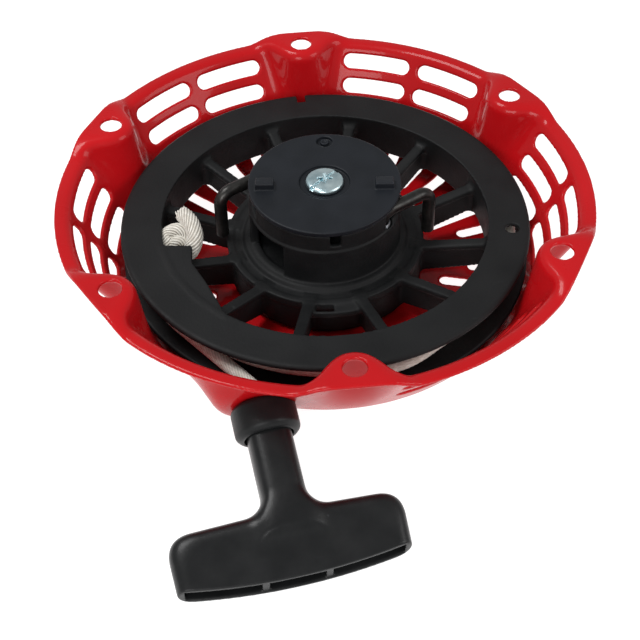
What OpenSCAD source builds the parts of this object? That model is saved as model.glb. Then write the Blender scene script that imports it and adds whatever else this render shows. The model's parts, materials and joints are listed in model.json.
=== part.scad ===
// Recoil starter for a small horizontal-shaft engine.
// Frame: origin on the shaft axis in the plane of the six mounting tabs,
// +Z along the shaft, out of the open engine side.

/* [Case] */
// Diameter of the bolt circle
bolt_circle_d = 180; // [178:0.5:184]
// Diameter of each mounting hole
bolt_hole_d = 8; // [6:0.5:9]
// Outer diameter of the rim
rim_d = 197.8; // [197:0.2:199]
// Height of the tabs above the rim flange
rim_drop = 3.5; // [3:0.25:4]
// Depth of the case from the tabs to the outside of its bottom
case_depth = 42.5; // [42:0.25:44]
// Radius of the flat bottom
bottom_r = 68; // [67:0.5:69]
// Outer radius of the bottom corner
corner_r = 8; // [7:0.5:9]
// Angle between the side wall and the shaft axis
wall_angle = 30.7; // [30:0.1:31.5]
// Thickness of the steel sheet
sheet_t = 1.5; // [1.2:0.1:1.8]

/* [Mounting tabs] */
// Number of tabs on the rim
tab_count = 6; // [6:1:6]
// Radius of a tab's nose at its top
nose_r = 8.2; // [7.5:0.1:8.5]
// Distance of the nose centre from the shaft axis
nose_at = 91.5; // [91:0.1:92]
// Half width of a tab's flat outer edge
tab_half_w = 11.8; // [11:0.1:12.5]
// Half width of a tab where it meets the rim flange
tab_foot_half_w = 15.7; // [15:0.1:16.5]

/* [Vents] */
// Width of the wall slots, across the slope
wall_slot_w = 6; // [5:0.25:6.5]
// Angle that each wall slot spans
wall_slot_span = 17.4; // [15:0.2:18]
// Angle from the middle of a wall panel to the middle of a slot
wall_slot_offset = 10; // [9.6:0.1:10.4]
// Depth of the highest row of wall slots below the tabs
wall_slot_first = 10.1; // [9.6:0.1:10.6]
// Distance from one row of wall slots to the next, along the axis
wall_slot_pitch = 8.7; // [8:0.1:9]
// Number of rows of wall slots
wall_slot_rows = 3; // [2:1:3]
// Number of radial slots in the bottom
bottom_slot_count = 32; // [24:1:32]
// Angle from one bottom slot to the next
bottom_slot_pitch = 9.57; // [9.5:0.01:9.8]
// Width of the bottom slots
bottom_slot_w = 4.5; // [3.5:0.25:5]

/* [Reel] */
// Outer radius of the rope flanges
flange_r = 76.4; // [74:0.2:77]
// Radius of the opening inside the rope ring
ring_r = 61; // [60:0.5:62]
// Number of spokes
spoke_count = 12; // [10:1:12]
// Radius of the spring housing
housing_r = 36.8; // [36:0.2:38]
// Outer radius of the hub
hub_r = 28; // [27:0.5:28.5]
// Radius of the bore that turns on the post
reel_bore_r = 6.05; // [6.03:0.01:6.1]

/* [Starter rope] */
// Diameter of the rope
rope_d = 5; // [4:0.5:5.5]
// Radius of the outer turn's centre line
rope_turn_r = 69.5; // [68:0.5:70.5]

/* [Pawls] */
// Diameter of the bent pawl rod
rod_d = 4.8; // [4:0.1:5]
// Distance from a pawl's pivot to its leg
pawl_reach = 22.5; // [21:0.5:23]
// Radius of the bends in the rod
rod_bend_r = 5; // [4:0.5:6]

/* [Ratchet guide] */
// Radius of the guide disc
guide_r = 28; // [27:0.5:28.5]
// Thickness of the guide disc
guide_t = 2; // [1.6:0.1:2.2]

/* [Handle] */
// Angle of the rope outlet below the plane of the rim
outlet_tilt = 20; // [18:1:22]
// Heading of the rope outlet seen from the engine side
outlet_heading = -82; // [-83:0.5:-81]
// Diameter of the handle's stem
stem_d = 15.2; // [14:0.2:15.6]
// Length of the cross bar
bar_l = 79; // [76:0.5:80]
// Offset of the cross bar's middle from the stem's axis
bar_shift = -1.3; // [-2:0.1:0]
// Height of the cross bar at its middle
bar_h = 25.6; // [22:0.2:27]

/* [Hidden] */
$fn = 96;

steel_red = "#c4161c";
plastic_black = "#222428";
steel_black = "#3a3632";
steel_zinc = "#b8c4c8";
rope_white = "#e4e2dc";
spring_steel = "#6d6f72";

// Case profile
rim_r = rim_d / 2;
flange_top = -rim_drop;
flange_low = flange_top - sheet_t;
bottom_out = -case_depth;
bottom_in = bottom_out + sheet_t;
corner_z = bottom_out + corner_r;
wall_slope = tan(wall_angle);
wall_foot_r = bottom_r + corner_r * cos(wall_angle);
wall_foot_z = corner_z - corner_r * sin(wall_angle);
pocket_depth = 34;
pocket_draft = 0.12;
tab_edge_r = rim_r - 0.6;
tab_clip_r = rim_r - 0.3;
bottom_slot_end = bottom_r - 1.2;
outlet_panel = -120;

// Reel heights
ring_top = -15.7;
ring_low = -31.2;
drum_r = ring_r + 1.8;
flange_t = 2;
web_top = -25;
web_t = 2.5;
housing_low = -39.5;
housing_t = 1.5;
deck_top = -6.9;
deck_t = 2.5;
tier_top = -1.2;
barrel_t = 2.8;
sleeve_r = 9.5;
spoke_phase = 14.5;
spoke_w = 4.2;
spoke_web_w = 2.2;
hook_web_r = 41.6;
knot_hole_angle = -174;
knot_hole_z = -22;

// Post and screw
post_r = 6;
post_top = -5;
screw_r = 3;
shoulder_r = 4;
head_r = 7;
head_low = 0.5;

// Pawl places
rod_r = rod_d / 2;
rod_z = -4;
pivot_r = 23.6;
pivot_angle = 143;
pawl_angle = 209;
pivot_low = -20;
leg_low = -23;

// Guide heights
guide_top = 1.2;
guide_low = guide_top - guide_t;
boss_low = -4.6;
cam_r = 1.5;
cam_at = 25.79;
cam_angle = 168.47;

// Rope and handle, measured along the outlet axis
outlet_at = [-30.9, -75, -25];
rope_r = rope_d / 2;
leave_z = -25.5;
outlet_reach = norm([outlet_at[0], outlet_at[1]]);
leave_angle = atan2(outlet_at[1], outlet_at[0]) - acos(rope_turn_r / outlet_reach);
leave_at = [rope_turn_r * cos(leave_angle), rope_turn_r * sin(leave_angle), leave_z];
mouth_start = 5;
mouth_end = 17;
seat_at = 13;
stem_start = 13.3;
bar_start = 42.6;
bar_end = bar_start + bar_h;
lead_start = 12;
lead_end = 17.5;

function polar(r, a) = [r * cos(a), r * sin(a)];
function wall_r(z) = wall_foot_r + (z - wall_foot_z) * wall_slope;
function arc(cx, cy, r, a0, a1, n) =
    [for (i = [0:n]) [cx + r * cos(a0 + (a1 - a0) * i / n), cy + r * sin(a0 + (a1 - a0) * i / n)]];

module ring_sector(a0, a1, r0, r1, z0, z1) {
    rotate([0, 0, a0])
        rotate_extrude(angle = a1 - a0)
            translate([r0, z0]) square([r1 - r0, z1 - z0]);
}

// Places children with +Z along the rope outlet axis, away from the case
module on_outlet() {
    translate(outlet_at) rotate([0, 90 + outlet_tilt, outlet_heading]) children();
}

module rod_between(p, q, r) {
    d = q - p;
    flat = norm([d[0], d[1]]);
    translate(p) rotate([0, atan2(flat, d[2]), atan2(d[1], d[0])]) cylinder(h = norm(d), r = r);
}

// ---- case ----

// Filled bowl; g insets it from the outer skin, top is where it ends
module bowl(g, top) {
    r_at_top = wall_r(flange_low) - g / cos(wall_angle);
    rotate_extrude($fn = 180)
        polygon(concat(
            [[0, bottom_out + g]],
            arc(bottom_r, corner_z, corner_r - g, -90, -wall_angle, 6),
            [[r_at_top + (top - flange_low) * wall_slope, top], [0, top]]));
}

// Raised form of a tab at angle 90: g grows it sideways, top is its height
module tab_form(g, top, reach) {
    foot = -pocket_depth;
    translate([0, nose_at, foot])
        cylinder(h = top - foot, r1 = nose_r + g + pocket_draft * pocket_depth, r2 = nose_r + g);
    intersection() {
        translate([0, 0, foot])
            linear_extrude(pocket_depth + 5)
                polygon([[-7.6 - g, 88.5], [7.6 + g, 88.5], [12.6 + g, 94], [tab_foot_half_w + g, 96.5],
                         [tab_foot_half_w + g, reach], [-tab_foot_half_w - g, reach],
                         [-tab_foot_half_w - g, 96.5], [-12.6 - g, 94]]);
        translate([0, reach + 1, 0]) rotate([90, 0, 0])
            linear_extrude(reach - 80)
                polygon([[-tab_half_w, top], [tab_half_w, top],
                         [tab_foot_half_w + g + 0.6, top - rim_drop - 0.6],
                         [tab_foot_half_w + g + 0.6, foot], [-tab_foot_half_w - g - 0.6, foot],
                         [-tab_foot_half_w - g - 0.6, top - rim_drop - 0.6]]);
    }
}

// Bulge of the wall that carries the rope guide; g insets it
module outlet_bulge(g) {
    intersection() {
        on_outlet() translate([0, 0, -26])
            cylinder(h = 26 + mouth_start - g, r1 = 26.7 - g, r2 = 14.4 - g);
        translate([0, 0, bottom_out + g]) cylinder(h = case_depth - 6.6 - 2 * g, r = rim_r);
    }
}

module oblong(l, w) {
    square([l - w, w], center = true);
    for (s = [-1, 1]) translate([s * (l - w) / 2, 0]) circle(d = w, $fn = 32);
}

module wall_slots() {
    for (panel = [0:tab_count - 1], side = [-1, 1], row = [0:wall_slot_rows - 1]) {
        middle = 360 / tab_count * panel;
        z = -wall_slot_first - wall_slot_pitch * row;
        l = wall_r(z) * wall_slot_span * PI / 180;
        if (middle != 360 + outlet_panel)
            rotate([0, 0, middle + side * wall_slot_offset])
                translate([wall_r(z) - 0.8, 0, z]) rotate([0, 90 + wall_angle, 0])
                    rotate([0, 0, 90]) translate([0, 0, -5]) linear_extrude(10) oblong(l, wall_slot_w);
    }
}

// Long and short by turns; those on the side away from the outlet run on into the rounded corner
module bottom_slots() {
    first = -93;
    for (i = [0:bottom_slot_count - 1]) {
        inner = i % 2 == 0 ? 44.5 : 55;
        outer = i > 9 && i < 27 ? bottom_slot_end + 7.4 : bottom_slot_end;
        rotate([0, 0, first + bottom_slot_pitch * i])
            translate([(inner + outer) / 2, 0, bottom_out - 1])
                linear_extrude(corner_r - 1) oblong(outer - inner, bottom_slot_w);
    }
}

module case_shell() {
    color(steel_red) difference() {
        union() {
            bowl(0, flange_low);
            translate([0, 0, flange_low]) cylinder(h = sheet_t, r = rim_r, $fn = 180);
            outlet_bulge(0);
            for (i = [0:tab_count - 1]) rotate([0, 0, 360 / tab_count * i]) intersection() {
                tab_form(sheet_t, 0, rim_r + 1);
                union() {
                    bowl(0.02, flange_low + 0.01);
                    translate([0, 0, flange_low]) cylinder(h = -flange_low + 1, r = tab_clip_r, $fn = 180);
                }
                translate([-40, 60, -pocket_depth]) cube([80, tab_edge_r - 60, pocket_depth + 1]);
            }
        }
        difference() {
            union() {
                bowl(sheet_t, 2);
                outlet_bulge(sheet_t);
            }
            for (i = [0:tab_count - 1]) rotate([0, 0, 360 / tab_count * i])
                tab_form(sheet_t, 0, rim_r + 1);
        }
        for (i = [0:tab_count - 1]) rotate([0, 0, 360 / tab_count * i]) {
            tab_form(0, -sheet_t, rim_r + 6);
            translate([0, bolt_circle_d / 2, -sheet_t - 1]) cylinder(h = sheet_t + 2, d = bolt_hole_d);
        }
        wall_slots();
        bottom_slots();
        on_outlet() cylinder(h = mouth_start + 2, r = 8.1);
    }
}

module centre_post() {
    color(steel_zinc) difference() {
        union() {
            translate([0, 0, bottom_in]) cylinder(h = 1.2, r = 14);
            translate([0, 0, bottom_in]) cylinder(h = post_top - bottom_in, r = post_r);
            translate([post_r - 1, -2, bottom_in + 2]) cube([3, 1.6, 9.5]);
        }
        translate([0, 0, post_top - 14]) cylinder(h = 15, r = screw_r + 0.05);
    }
}

module centre_screw() {
    cross_w = 1.4;
    color(steel_zinc) difference() {
        union() {
            translate([0, 0, head_low]) cylinder(h = 1.2, r = head_r);
            translate([0, 0, head_low + 1.2]) cylinder(h = 1.3, r1 = head_r, r2 = head_r - 2.2);
            translate([0, 0, post_top]) cylinder(h = head_low - post_top + 0.1, r = shoulder_r);
            translate([0, 0, post_top - 13]) cylinder(h = 13.1, r = screw_r);
        }
        for (a = [0, 90]) rotate([0, 0, a + 20])
            translate([-3, -cross_w / 2, head_low + 0.9]) cube([6, cross_w, 3]);
    }
}

module rope_guide() {
    flange_end = mouth_start - sheet_t - 0.2;
    color(plastic_black) difference() {
        union() {
            on_outlet() rotate_extrude() polygon([
                [0, 1], [9.3, 1], [9.3, flange_end], [8, flange_end],
                [8, mouth_start + 3], [0, mouth_start + 3]]);
            difference() {
                on_outlet() rotate_extrude() polygon([
                    [0, mouth_start + 0.1], [9.6, mouth_start + 0.1], [11.2, mouth_start + 1.8],
                    [11.2, mouth_end - 2], [9.7, mouth_end], [0, mouth_end]]);
                bowl(-0.15, flange_low);
            }
        }
        on_outlet() {
            translate([0, 0, -3]) cylinder(h = 30, r = rope_r + 0.5);
            translate([0, 0, 0.9]) cylinder(h = 3.6, r1 = rope_r + 3.2, r2 = rope_r + 0.4);
            translate([0, 0, seat_at]) cylinder(h = 6, r = stem_d / 2 + 1.2);
        }
    }
}

module rope_run() {
    color(rope_white) {
        rod_between(leave_at, outlet_at, rope_r);
        translate(outlet_at) sphere(r = rope_r + 0.06, $fn = 48);
        on_outlet() cylinder(h = lead_start, r = rope_r);
    }
}

// ---- reel ----

module rope_ring() {
    rotate_extrude($fn = 180) polygon([
        [ring_r, ring_top - 1.6], [ring_r + 1.8, ring_top], [flange_r, ring_top],
        [flange_r, ring_top - flange_t], [drum_r, ring_top - flange_t - 0.5],
        [drum_r, ring_low + flange_t + 0.5], [flange_r, ring_low + flange_t],
        [flange_r, ring_low], [ring_r, ring_low]]);
}

module spoke() {
    rise = 5.2;
    foot = housing_r - 3;
    translate([0, spoke_w / 2, 0]) rotate([90, 0, 0]) linear_extrude(spoke_w)
        polygon([[foot, web_top - 2], [ring_r + 0.5, web_top - 2 + rise],
                 [ring_r + 0.5, web_top + rise], [foot, web_top - 0.2]]);
    translate([0, spoke_web_w / 2, 0]) rotate([90, 0, 0]) linear_extrude(spoke_web_w)
        polygon([[housing_r - 1, -37.5], [ring_r + 0.5, ring_low + 0.5], [ring_r + 0.5, web_top + rise - 1],
                 [housing_r - 1, web_top - 1]]);
}

module knot_plate() {
    edge = [polar(ring_r + 1, -172), polar(51.1, -169), polar(53.9, -159.5), polar(54.4, -148),
            polar(57.8, -137), polar(ring_r + 1, -129), polar(ring_r + 1, -140), polar(ring_r + 1, -155)];
    translate([0, 0, ring_top - flange_t]) linear_extrude(flange_t) polygon(edge);
}

// Disc over the spring, wider between the two spokes beside the hook slot
module web_plate() {
    first = spoke_phase - 120;
    translate([0, 0, web_top - web_t]) linear_extrude(web_t) {
        circle(r = housing_r);
        intersection() {
            circle(r = hook_web_r);
            polygon([[0, 0], polar(60, first), polar(60, first + 360 / spoke_count)]);
        }
    }
}

module hub() {
    difference() {
        union() {
            translate([0, 0, web_top - 0.5]) cylinder(h = tier_top - web_top + 0.5, r = hub_r);
            rotate_extrude() translate([hub_r - 1, web_top - 0.5])
                polygon([[0, 0], [4, 0], [4, 1.2], [3.2, 2], [0, 2.2]]);
        }
        translate([0, 0, deck_top]) cylinder(h = 10, r = hub_r - barrel_t);
        difference() {
            translate([0, 0, web_top - 1])
                cylinder(h = deck_top - deck_t - web_top + 1, r = hub_r - barrel_t);
            translate([0, 0, web_top - 1]) cylinder(h = 30, r = sleeve_r);
            for (s = [0, 180]) rotate([0, 0, pivot_angle + s])
                translate([pivot_r, 0, web_top - 1]) cylinder(h = 30, r = 4.4);
        }
        for (s = [0, 180]) {
            ring_sector(140 + s, 196 + s, hub_r - barrel_t - 1, hub_r + 2, deck_top, 1);
            ring_sector(187 + s, 231 + s, hub_r - barrel_t - 1, hub_r + 1, web_top + 2, deck_top - deck_t);
            ring_sector(268 + s, 276 + s, hub_r - barrel_t - 1, hub_r + 1, deck_top + 1, tier_top + 1);
        }
    }
}

module reel() {
    color(plastic_black) difference() {
        union() {
            rope_ring();
            knot_plate();
            hub();
            web_plate();
            rotate_extrude() translate([housing_r - housing_t, housing_low])
                square([housing_t, web_top - housing_low - 1]);
            translate([0, 0, housing_low]) cylinder(h = deck_top - housing_low + 1, r = sleeve_r);
            for (i = [0:spoke_count - 1]) rotate([0, 0, spoke_phase + 360 / spoke_count * i]) spoke();
        }
        translate([0, 0, housing_low - 1]) cylinder(h = 60, r = reel_bore_r);
        translate([0, 0, housing_low - 1]) cylinder(h = 12.6, r = 11.5);
        for (s = [0, 180]) rotate([0, 0, pivot_angle + s]) translate([pivot_r, 0, 0]) {
            translate([0, 0, pivot_low - 1]) cylinder(h = 30, r = rod_r + 0.06);
            translate([0, 0, deck_top - 3]) cylinder(h = 10, r = 4);
        }
        ring_sector(-101.7, -91.5, 37.3, 40.3, web_top - web_t - 1, web_top + 1);
        rotate([0, 0, -12]) translate([69.7, 0, ring_top - 4]) cylinder(h = 6, r = 2.5);
        rotate([0, 0, 91.5]) translate([flange_r - 5, -1.7, ring_top - 4]) cube([8, 3.4, 6]);
        rotate([0, 0, knot_hole_angle]) translate([58, 0, knot_hole_z]) rotate([0, 90, 0])
            cylinder(h = 8, r = rope_r + 0.4);
    }
}

// Flat spiral: r grows evenly with the angle, w is half the strip's thickness
function spiral(r0, pitch, turns, w, step) = [for (a = [0:step:360 * turns])
    let (r = r0 + pitch * a / 360 + w) [r * cos(a), r * sin(a)]];
function back(list) = [for (i = [len(list) - 1:-1:0]) list[i]];

module recoil_spring() {
    turns = 9;
    pitch = 2.75;
    half_t = 0.35;
    step = 15;
    outer = spiral(9, pitch, turns, half_t, step);
    inner = spiral(9, pitch, turns, -half_t, step);
    color(spring_steel) translate([0, 0, housing_low + 0.8])
        linear_extrude(10.6) polygon(concat(outer, back(inner)));
}

// Coiled turns, with a channel where the run leaves them
module rope_wound() {
    low = ring_low + flange_t;
    top = ring_top - flange_t;
    edge = rope_turn_r + rope_r;
    lead = (outlet_at - leave_at) / norm(outlet_at - leave_at);
    color(rope_white) difference() {
        rotate_extrude($fn = 180) polygon([
            [drum_r + 0.2, low + 0.9], [rope_turn_r - 0.5, low + 0.8], [edge, low + 2.2],
            [edge, top - 2.2], [rope_turn_r - 0.5, top - 0.8], [drum_r + 0.2, top - 0.9]]);
        rod_between(leave_at - lead, outlet_at, rope_r + 0.3);
    }
}

module rope_knot() {
    at = [-54.5, 2, -18.5];
    hole_end = [62.4 * cos(knot_hole_angle), 62.4 * sin(knot_hole_angle), knot_hole_z];
    bend = hole_end * 0.925 + [0, 0, knot_hole_z * 0.075];
    color(rope_white) {
        translate(at) sphere(r = 6.2, $fn = 64);
        translate(bend) sphere(r = rope_r + 0.06, $fn = 48);
        rod_between(hole_end, bend, rope_r);
        rod_between(bend, at, rope_r);
    }
}

// ---- ratchet ----

// Bent rod with its pivot on the Z axis and its arm along +X
module pawl_rod() {
    top = rod_z - rod_bend_r;
    translate([0, 0, pivot_low]) cylinder(h = top - pivot_low, r = rod_r);
    translate([pawl_reach, 0, leg_low]) cylinder(h = top - leg_low, r = rod_r);
    translate([rod_bend_r, 0, rod_z]) rotate([0, 90, 0])
        cylinder(h = pawl_reach - 2 * rod_bend_r, r = rod_r);
    translate([rod_bend_r, 0, top]) rotate([90, 0, 0]) rotate([0, 0, 90])
        rotate_extrude(angle = 90) translate([rod_bend_r, 0]) circle(r = rod_r, $fn = 48);
    translate([pawl_reach - rod_bend_r, 0, top]) rotate([90, 0, 0])
        rotate_extrude(angle = 90) translate([rod_bend_r, 0]) circle(r = rod_r, $fn = 48);
}

module at_pivot(turn) {
    rotate([0, 0, turn]) translate([pivot_r * cos(pivot_angle), pivot_r * sin(pivot_angle), 0])
        rotate([0, 0, pawl_angle]) children();
}

module pawl_spring() {
    wire_r = 0.4;
    coil_r = 3.15;
    for (i = [0:2]) translate([0, 0, deck_top - 2.3 + 0.72 * i])
        rotate_extrude() translate([coil_r, 0]) circle(r = wire_r, $fn = 24);
    translate([0, coil_r, deck_top - 0.8]) cylinder(h = 5.2, r = wire_r, $fn = 24);
}

module pawl_left() { color(steel_black) at_pivot(0) pawl_rod(); }
module pawl_right() { color(steel_black) at_pivot(180) pawl_rod(); }
module pawl_spring_left() { color(spring_steel) at_pivot(0) pawl_spring(); }
module pawl_spring_right() { color(spring_steel) at_pivot(180) pawl_spring(); }

module ratchet_guide() {
    color(plastic_black) difference() {
        union() {
            translate([0, 0, guide_low]) cylinder(h = guide_t, r = guide_r);
            translate([0, 0, boss_low]) cylinder(h = guide_low - boss_low + 0.1, r = 6.4);
            for (s = [0, 180]) {
                rotate([0, 0, s - 6])
                    translate([18.5, s == 0 ? -4.6 : -0.4, guide_top - 0.1]) cube([6.7, 5, 3]);
                rotate([0, 0, s + cam_angle]) translate([cam_at, 0, boss_low - 1])
                    cylinder(h = guide_low - boss_low + 1.1, r = cam_r, $fn = 32);
            }
        }
        translate([0, 0, guide_top - 1]) cylinder(h = 2, r = 9.3);
        translate([0, 0, boss_low - 1]) cylinder(h = 10, r = shoulder_r + 0.06);
        rotate([0, 0, 84]) translate([23.3, 0, guide_top - 0.8]) difference() {
            cylinder(h = 2, r = 3, $fn = 48);
            translate([0, 0, -1]) cylinder(h = 4, r = 1.9, $fn = 48);
        }
    }
}

module friction_spring() {
    wire_r = 0.6;
    loop_r = 7.4;
    color(spring_steel) translate([0, 0, -2.4]) {
        rotate_extrude(angle = 320) translate([loop_r, 0]) circle(r = wire_r, $fn = 24);
        for (a = [0, 320]) rotate([0, 0, a]) translate([loop_r, 0, 0]) rotate([0, 90, 0])
            cylinder(h = 5, r = wire_r, $fn = 24);
    }
}

// ---- handle ----

module rope_lead() {
    color(rope_white) on_outlet() translate([0, 0, lead_start])
        cylinder(h = lead_end - lead_start, r = rope_r);
}

// Face of the cross bar: its shoulders droop towards the ends
module bar_outline() {
    r = 4.5;
    droop = 1.5;
    half = bar_l / 2;
    polygon([[-half, r + droop], [r - half, droop], [0, 0], [half - r, droop], [half, r + droop],
             [half, bar_h + 2], [-half, bar_h + 2]]);
    for (s = [-1, 1]) translate([s * (half - r), r + droop]) circle(r = r, $fn = 48);
}

// The bar's free edge is bowed, and slants so that the open cells face up a little
module bar_body() {
    bow_r = 221;
    slant = 10.3;
    intersection() {
        translate([-8, bar_shift, bar_start]) rotate([90, 0, 90]) linear_extrude(16) bar_outline();
        translate([0, bar_l, 0]) rotate([90, 0, 0]) linear_extrude(2 * bar_l)
            polygon([[-6.3, bar_start - 1], [6.3, bar_start - 1], [4.4, bar_end + 1], [-4.4, bar_end + 1]]);
        translate([0, bar_shift, bar_end - 1.9]) rotate([0, slant, 0])
            translate([-12, 0, -bow_r]) rotate([0, 90, 0]) cylinder(h = 24, r = bow_r, $fn = 720);
    }
}

module grip() {
    cell_t = 6;
    cell_low = bar_start + 8;
    cell_l = bar_l / 2 - 14.5;
    color(plastic_black) on_outlet() difference() {
        union() {
            translate([0, 0, stem_start + 1]) cylinder(h = bar_start - stem_start + 1, d = stem_d);
            translate([0, 0, stem_start]) cylinder(h = 1.1, d1 = stem_d - 2, d2 = stem_d);
            translate([0, 0, bar_start - 6]) cylinder(h = 7, d1 = stem_d, d2 = stem_d + 2);
            bar_body();
        }
        translate([0, 0, stem_start - 1]) cylinder(h = 60, r = rope_r + 0.5);
        translate([0, 0, cell_low - 13]) cylinder(h = 13.5, r = 5);
        translate([-cell_t / 2, bar_shift, cell_low]) {
            translate([0, 12, 0]) cube([cell_t, cell_l, 30]);
            translate([0, -12 - cell_l, 0]) cube([cell_t, cell_l, 30]);
            translate([0, -9.2, 0]) cube([cell_t, 18.4, 30]);
        }
    }
}

module grip_rope() {
    color(rope_white) on_outlet() translate([0, 0, lead_end])
        cylinder(h = bar_start - 3.8 - lead_end, r = rope_r);
}

module grip_knot() {
    color(rope_white) on_outlet() translate([0, 0, bar_start - 3.8]) {
        translate([0, 0, 0.8]) cylinder(h = 8.4, r = 4.6);
        cylinder(h = 0.8, r1 = 3.6, r2 = 4.6);
        translate([0, 0, 9.2]) cylinder(h = 0.8, r1 = 4.6, r2 = 3.6);
    }
}

case_shell();
centre_post();
rope_guide();
rope_run();
centre_screw();
reel();
recoil_spring();
rope_wound();
rope_knot();
ratchet_guide();
friction_spring();
pawl_left();
pawl_spring_left();
pawl_right();
pawl_spring_right();
rope_lead();
grip();
grip_rope();
grip_knot();
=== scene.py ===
import json
import math

import bpy
import numpy as np
from mathutils import Matrix, Vector


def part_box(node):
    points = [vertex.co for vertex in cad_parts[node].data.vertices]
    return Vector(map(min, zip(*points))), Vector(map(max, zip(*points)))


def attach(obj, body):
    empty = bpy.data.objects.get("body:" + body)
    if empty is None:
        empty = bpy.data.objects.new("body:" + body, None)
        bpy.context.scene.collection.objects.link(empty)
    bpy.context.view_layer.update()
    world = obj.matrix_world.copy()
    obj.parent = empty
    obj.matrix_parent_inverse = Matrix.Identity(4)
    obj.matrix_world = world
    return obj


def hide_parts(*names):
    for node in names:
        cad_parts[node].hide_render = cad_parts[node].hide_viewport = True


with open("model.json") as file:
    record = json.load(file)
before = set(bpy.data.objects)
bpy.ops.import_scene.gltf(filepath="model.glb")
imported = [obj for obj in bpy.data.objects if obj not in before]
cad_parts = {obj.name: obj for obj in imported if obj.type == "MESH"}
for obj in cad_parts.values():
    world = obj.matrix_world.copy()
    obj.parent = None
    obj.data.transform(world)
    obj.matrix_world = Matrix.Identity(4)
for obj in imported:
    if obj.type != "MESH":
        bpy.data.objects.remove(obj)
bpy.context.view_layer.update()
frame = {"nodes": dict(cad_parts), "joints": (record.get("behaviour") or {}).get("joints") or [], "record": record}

# Shapes are worked out in millimetres, as signed distances that are negative inside the material,
# and turned into metres when a mesh is made.
MM = 0.001
FAR_AWAY = 99.0
LAYERS_AT_ONCE = 8

# ---- sizes the looks need, the same as the CAD part's ----

RIM_R = 98.9
FLANGE_TOP = -3.5
SHEET = 1.5
BOTTOM = -42.5
BOTTOM_R = 68.0
CORNER_R = 8.0
WALL = math.radians(30.7)
WALL_FOOT_R = BOTTOM_R + CORNER_R * math.cos(WALL)
WALL_FOOT_Z = BOTTOM + CORNER_R * (1 - math.sin(WALL))
NOSE_AT, NOSE_R, DRAFT = 91.5, 8.2, 0.12

RING_R, FLANGE_R, DRUM_R = 61.0, 76.4, 62.8
RING_TOP, RING_LOW, FLANGE_T = -15.7, -31.2, 2.0
WEB_TOP, WEB_T = -25.0, 2.5
HOUSING_R, HOUSING_LOW = 36.8, -39.5
HUB_R, BARREL_T = 28.0, 2.8
DECK_TOP, DECK_T, TIER_TOP, BARREL_TOP = -6.9, 2.5, -1.2, -8.1
SLEEVE_R, BORE_R = 9.5, 6.05
SPOKE_PHASE, SPOKE_STEP = 14.5, 30.0

GUIDE_TOP, GUIDE_T, GUIDE_R = 1.2, 2.0, 28.0
ROPE_R, ROPE_TURN_R = 2.5, 69.5
OUTLET_AT = np.array([-30.9, -75.0, -25.0])

joints = {j["name"]: j for j in frame["joints"]}
PULL = np.array(joints["handle_pull"]["axis"])
PULL = PULL / np.linalg.norm(PULL)
SIDE = np.cross([0.0, 0.0, 1.0], PULL)
SIDE = SIDE / np.linalg.norm(SIDE)
OVER = np.cross(PULL, SIDE)
PIVOT = np.array(joints["pawl_left_swing"]["pos_m"])[:2] / MM
BOLT_R = frame["record"]["mounts"][0]["dims"]["pcd_mm"] / 2
HOLE_R = frame["record"]["mounts"][0]["dims"]["hole_r_mm"]

# ---- distance fields and the mesh drawn from one ----


def smin(a, b, k):
    """The smaller of two distances, blended over a width of k."""
    h = np.maximum(k - np.abs(a - b), 0) / k
    return np.minimum(a, b) - h * h * k / 4


def smax(a, b, k):
    """The larger of two distances, blended over a width of k."""
    return -smin(-a, -b, k)


def surface_mesh(field, low, high, step):
    """Vertices and quads of the surface where field(x, y, z) is zero, in millimetres."""
    axes = [np.arange(a - 1.5 * step, b + 2.5 * step, step, dtype=np.float32) for a, b in zip(low, high)]
    f = np.empty([len(a) for a in axes], np.float32)
    x, y = np.meshgrid(axes[0], axes[1], indexing="ij")
    for start in range(0, len(axes[2]), LAYERS_AT_ONCE):
        z = axes[2][start:start + LAYERS_AT_ONCE]
        f[:, :, start:start + LAYERS_AT_ONCE] = field(x[:, :, None], y[:, :, None], z[None, None, :])
    inside = f < 0
    corners = [(i, j, k) for i in (0, 1) for j in (0, 1) for k in (0, 1)]
    cell = np.array(f.shape) - 1

    def at(values, c):
        return values[c[0]:c[0] + cell[0], c[1]:c[1] + cell[1], c[2]:c[2] + cell[2]]

    count = np.zeros(cell, np.int8)
    for c in corners:
        count += at(inside, c)
    index = np.argwhere((count > 0) & (count < 8))
    total = np.zeros((len(index), 3))
    crossings = np.zeros(len(index))
    for a in corners:
        for axis in range(3):
            if a[axis]:
                continue
            b = list(a)
            b[axis] = 1
            fa = f[tuple((index + a).T)].astype(float)
            fb = f[tuple((index + b).T)].astype(float)
            cross = (fa < 0) != (fb < 0)
            t = np.where(cross, fa / np.where(cross, fa - fb, 1), 0)
            point = np.array(a, float)[None, :].repeat(len(index), 0)
            point[:, axis] += t
            total += point * cross[:, None]
            crossings += cross
    verts = np.array([a[0] for a in axes]) + (index + total / crossings[:, None]) * step
    ids = np.full(cell, -1, np.int32)
    ids[tuple(index.T)] = np.arange(len(index))
    quads = []
    for axis in range(3):
        u, v = (axis + 1) % 3, (axis + 2) % 3
        ahead = [slice(None)] * 3
        behind = [slice(None)] * 3
        ahead[axis], behind[axis] = slice(1, None), slice(None, -1)
        change = inside[tuple(behind)].astype(np.int8) - inside[tuple(ahead)]
        spot = np.argwhere(change != 0)
        spot = spot[(spot[:, u] > 0) & (spot[:, v] > 0)
                    & (spot[:, u] < cell[u]) & (spot[:, v] < cell[v])]
        out = change[tuple(spot.T)] > 0
        four = []
        for du, dv in ((1, 1), (0, 1), (0, 0), (1, 0)):
            c = spot.copy()
            c[:, u] -= du
            c[:, v] -= dv
            four.append(ids[tuple(c.T)])
        quad = np.stack(four, 1)
        quad[~out] = quad[~out][:, ::-1]
        quads.append(quad)
    return verts, np.concatenate(quads)


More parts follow.
